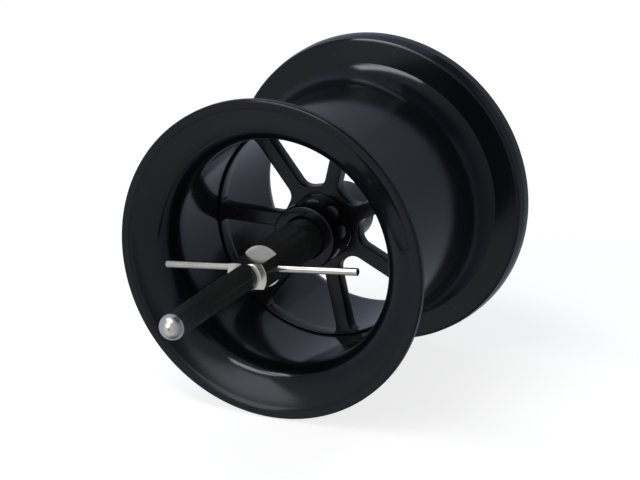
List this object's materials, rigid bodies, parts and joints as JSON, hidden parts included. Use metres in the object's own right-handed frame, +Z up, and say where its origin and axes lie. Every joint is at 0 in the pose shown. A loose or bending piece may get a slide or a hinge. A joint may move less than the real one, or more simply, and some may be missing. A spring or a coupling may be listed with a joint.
{
  "type": "fishing reel line spool",
  "caption": "Flanged black drum for fishing line with a spoked web, a black-coated through shaft with a two-flat drive tongue and cross pin, and a ball bearing at its far end.",
  "frame": {"origin": "on the shaft axis, midway between the two rounded shaft tips", "axes": "+Y along the shaft from the handle-side tip to the palm-side tip, +Z up with the drum lying on its rims"},
  "size_m": [0.0384, 0.07, 0.0384],
  "materials": {
    "drum_anodised": "black anodised, satin-gloss",
    "web_anodised": "black anodised, satin",
    "boss_anodised": "black anodised, gloss",
    "shaft_black": "black-coated steel, gloss; ground bare at the tips and on the tongue's shoulder and end face",
    "pin_steel": "ground bright steel",
    "race_steel": "ground bearing steel",
    "ball_steel": "polished",
    "cage_steel": "pressed",
    "clip_steel": "dark spring steel"
  },
  "bodies": {
    "spool": {"handle_side_flange": "drum_anodised", "drum_barrel": "drum_anodised", "palm_side_flange": "drum_anodised", "spoke_web": "web_anodised", "hub_boss": "boss_anodised", "spool_shaft": "shaft_black", "brake_pin": "pin_steel", "bearing_inner_race": "race_steel", "retaining_clip": "clip_steel"},
    "bearing_outer": {"bearing_outer_race": "race_steel", "bearing_shield_drum_side": "race_steel", "bearing_shield_tip_side": "race_steel"},
    "ball_set": {"ball_cage": "cage_steel", "bearing_ball_1": "ball_steel", "bearing_ball_2": "ball_steel", "bearing_ball_3": "ball_steel", "bearing_ball_4": "ball_steel", "bearing_ball_5": "ball_steel", "bearing_ball_6": "ball_steel", "bearing_ball_7": "ball_steel"}
  },
  "joints": [
    {"name": "bearing_spin", "type": "hinge", "parent": "spool", "child": "bearing_outer", "pos_m": [0, 0.0291, 0], "axis": [0, 1, 0], "continuous": true},
    {"name": "ball_set_spin", "type": "hinge", "parent": "spool", "child": "ball_set", "pos_m": [0, 0.0291, 0], "axis": [0, 1, 0], "continuous": true}
  ],
  "couplings": [
    {"joint": "ball_set_spin", "follows": "bearing_spin", "ratio": 0.6215}
  ]
}
